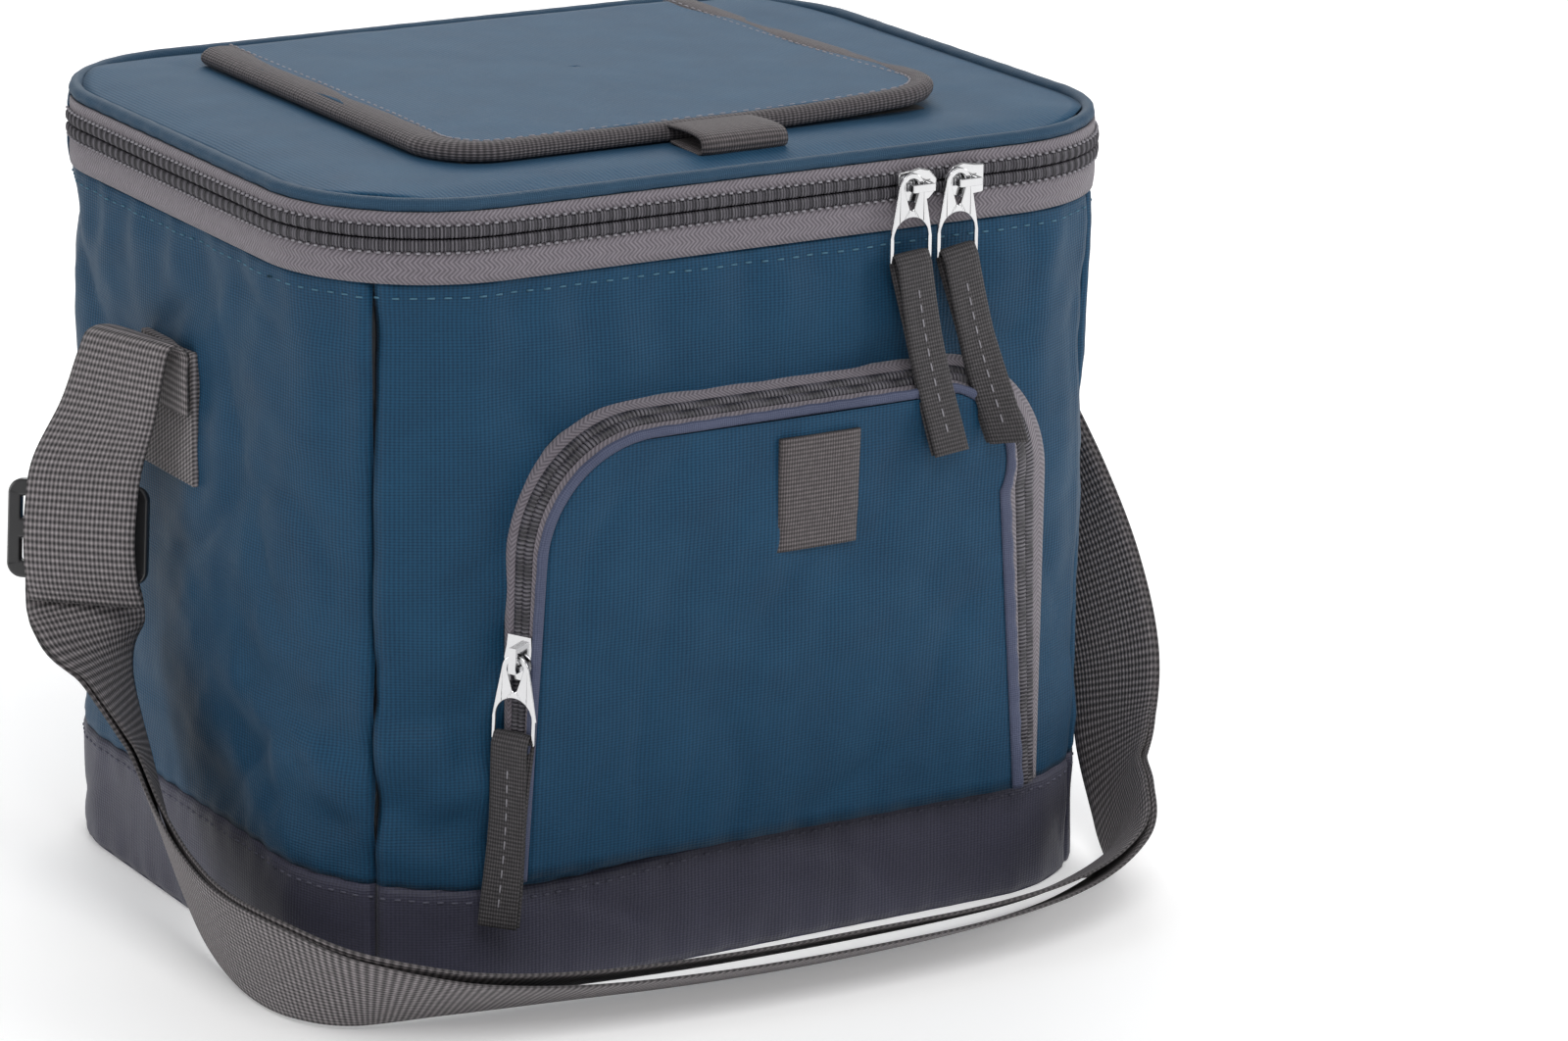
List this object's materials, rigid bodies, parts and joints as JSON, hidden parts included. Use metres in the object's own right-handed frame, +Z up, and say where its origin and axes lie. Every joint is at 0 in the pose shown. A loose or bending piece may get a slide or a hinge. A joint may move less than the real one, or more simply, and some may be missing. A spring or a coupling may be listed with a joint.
{
  "type": "insulated cooler bag",
  "caption": "Soft insulated cooler bag with a zip-round lid, a hatch flap in the lid, a zipped front pocket and an adjustable webbing shoulder strap.",
  "frame": {"origin": "centre of the base, on the surface the bag stands on", "axes": "+Z up through the lid, -Y out of the front pocket's face, +X to the right seen from the front"},
  "size_m": [0.3771, 0.3057, 0.2725],
  "materials": {
    "body_cloth": "woven, slight sheen",
    "base_cloth": "woven",
    "zip_tape": "herringbone tape",
    "zip_coil": "coil",
    "binding": "ribbed webbing",
    "piping": "woven",
    "pocket_piping": "woven",
    "webbing": "coarse webbing",
    "loop_tape": "hook and loop",
    "liner": "silvery film",
    "foam": "closed-cell foam",
    "board": "stiffener board",
    "metal": "polished plating",
    "adjuster": "moulded"
  },
  "bodies": {
    "shell": {"base_band_front": "base_cloth", "wall_foam_front": "foam", "base_band_right": "base_cloth", "wall_foam_right": "foam", "base_band_back": "base_cloth", "wall_foam_back": "foam", "base_band_left": "base_cloth", "wall_foam_left": "foam", "base_panel": "base_cloth", "base_board": "board", "base_foam": "foam", "front_panel": "body_cloth", "right_panel": "body_cloth", "back_panel": "body_cloth", "left_panel": "body_cloth", "liner_tub": "liner", "rim_binding": "binding", "body_zip_tape": "zip_tape", "body_zip_coil": "zip_coil", "back_hinge_binding": "body_cloth", "pocket_outer_tape": "zip_tape", "pocket_outer_coil": "zip_coil", "strap_patches": "webbing"},
    "lid": {"lid_zip_coil": "zip_coil", "lid_zip_tape": "zip_tape", "lid_back_binding": "body_cloth", "lid_lining": "liner", "lid_foam": "foam", "lid_top_panel": "body_cloth", "lid_piping": "piping", "hatch_sleeve": "liner", "hatch_loop_strips": "loop_tape"},
    "hatch_flap": {"flap_hook_strips": "loop_tape", "flap_lining": "liner", "flap_padding": "foam", "flap_top_panel": "body_cloth", "flap_binding": "binding", "flap_pull_tab": "webbing", "plug_cover": "liner", "plug_foam": "foam"},
    "pocket": {"pocket_inner_coil": "zip_coil", "pocket_inner_tape": "zip_tape", "pocket_panel": "body_cloth", "pocket_piping": "pocket_piping", "pocket_tab": "webbing"},
    "main_slider_left": {"slider_left": "metal"},
    "main_pull_left": {"pull_left": "metal"},
    "main_puller_left": {"puller_left": "webbing"},
    "main_slider_right": {"slider_right": "metal"},
    "main_pull_right": {"pull_right": "metal"},
    "main_puller_right": {"puller_right": "webbing"},
    "pocket_slider": {"pocket_slider": "metal"},
    "pocket_pull": {"pocket_pull": "metal"},
    "pocket_puller": {"pocket_puller": "webbing"},
    "strap": {"strap_outer_ply": "webbing", "strap_inner_ply": "webbing", "anchor_loop_left": "webbing", "anchor_loop_right": "webbing", "strap_adjuster": "adjuster"}
  },
  "joints": [
    {"name": "lid_hinge", "type": "hinge", "parent": "shell", "child": "lid", "pos_m": [0, 0.1233, 0.2533], "axis": [-1, 0, 0], "range_deg": [0, 110]},
    {"name": "hatch_hinge", "type": "hinge", "parent": "lid", "child": "hatch_flap", "pos_m": [0, 0.0915, 0.2675], "axis": [-1, 0, 0], "range_deg": [0, 110]},
    {"name": "pocket_hinge", "type": "hinge", "parent": "shell", "child": "pocket", "pos_m": [0, -0.1237, 0.042], "axis": [1, 0, 0], "range_deg": [0, 10]},
    {"name": "left_slider_slide", "type": "slide", "parent": "shell", "child": "main_slider_left", "axis": [-1, 0, 0], "range_m": [0, 0.14]},
    {"name": "left_pull_swing", "type": "hinge", "parent": "main_slider_left", "child": "main_pull_left", "pos_m": [0.0501, -0.1285, 0.2533], "axis": [0, 1, 0], "range_deg": [0, 50]},
    {"name": "left_puller_lift", "type": "hinge", "parent": "main_pull_left", "child": "main_puller_left", "pos_m": [0.0501, -0.1285, 0.2298], "axis": [-1, 0, 0], "range_deg": [0, 30]},
    {"name": "right_slider_slide", "type": "slide", "parent": "shell", "child": "main_slider_right", "axis": [1, 0, 0], "range_m": [0, 0.015]},
    {"name": "right_pull_swing", "type": "hinge", "parent": "main_slider_right", "child": "main_pull_right", "pos_m": [0.068, -0.1285, 0.2533], "axis": [0, -1, 0], "range_deg": [0, 12]},
    {"name": "right_puller_lift", "type": "hinge", "parent": "main_pull_right", "child": "main_puller_right", "pos_m": [0.068, -0.1285, 0.2298], "axis": [-1, 0, 0], "range_deg": [0, 30]},
    {"name": "pocket_slider_slide", "type": "slide", "parent": "pocket", "child": "pocket_slider", "axis": [-0.0197, 0.0315, -0.9993], "range_m": [-0.02, 0.008]},
    {"name": "pocket_pull_lift", "type": "hinge", "parent": "pocket_slider", "child": "pocket_pull", "pos_m": [-0.09577, -0.13063, 0.11745], "axis": [-0.5296, 0.8475, 0.0371], "range_deg": [0, 100]},
    {"name": "pocket_puller_lift", "type": "hinge", "parent": "pocket_pull", "child": "pocket_puller", "pos_m": [-0.0963, -0.12977, 0.09012], "axis": [-0.5296, 0.8475, 0.0371], "range_deg": [0, 90]},
    {"name": "strap_swing", "type": "hinge", "parent": "shell", "child": "strap", "pos_m": [0, 0.005, 0.19], "axis": [-1, 0, 0], "range_deg": [0, 142]}
  ],
  "couplings": [
    {"joint": "left_puller_lift", "follows": "pocket_hinge", "ratio": 3},
    {"joint": "right_puller_lift", "follows": "pocket_hinge", "ratio": 3}
  ]
}
